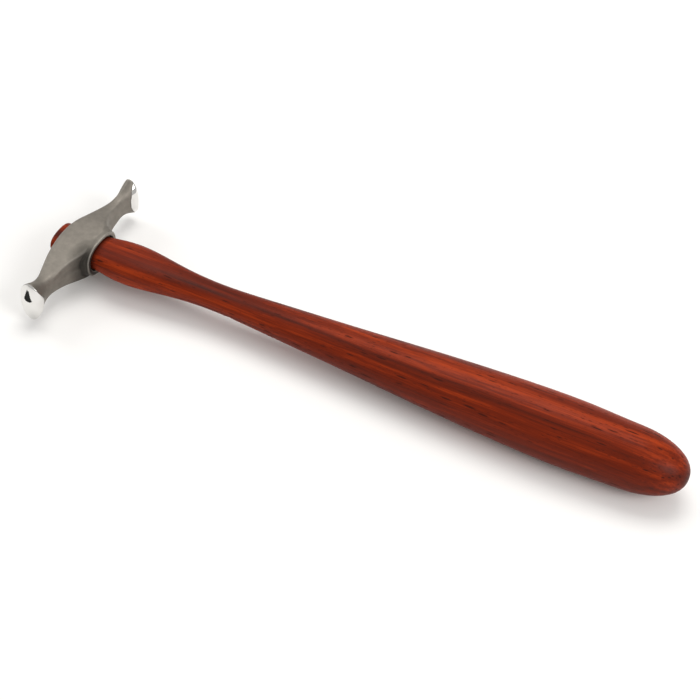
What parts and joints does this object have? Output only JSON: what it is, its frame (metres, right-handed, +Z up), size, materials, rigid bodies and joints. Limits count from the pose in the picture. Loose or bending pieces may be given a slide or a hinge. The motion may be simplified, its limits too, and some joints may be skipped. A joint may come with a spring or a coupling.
{
  "type": "raising hammer",
  "caption": "Small silversmith's raising hammer: steel head with two tall, narrow, polished rounded faces on a waisted hardwood handle.",
  "frame": {"origin": "middle of the hammer's length and width on the bench plane, with the hammer lying on its side", "axes": "+X along the handle from the head to the butt, +Y along the head, +Z up, square to the flat cheeks"},
  "size_m": [0.2368, 0.068, 0.0221],
  "materials": {
    "steel": "satin body with mirror-polished striking faces",
    "padauk": "oiled satin, red-orange with dark brown streaks",
    "wedge_wood": "plain sawn hardwood"
  },
  "bodies": {
    "root": {"head": "steel", "handle": "padauk", "wedge": "wedge_wood"}
  },
  "joints": []
}
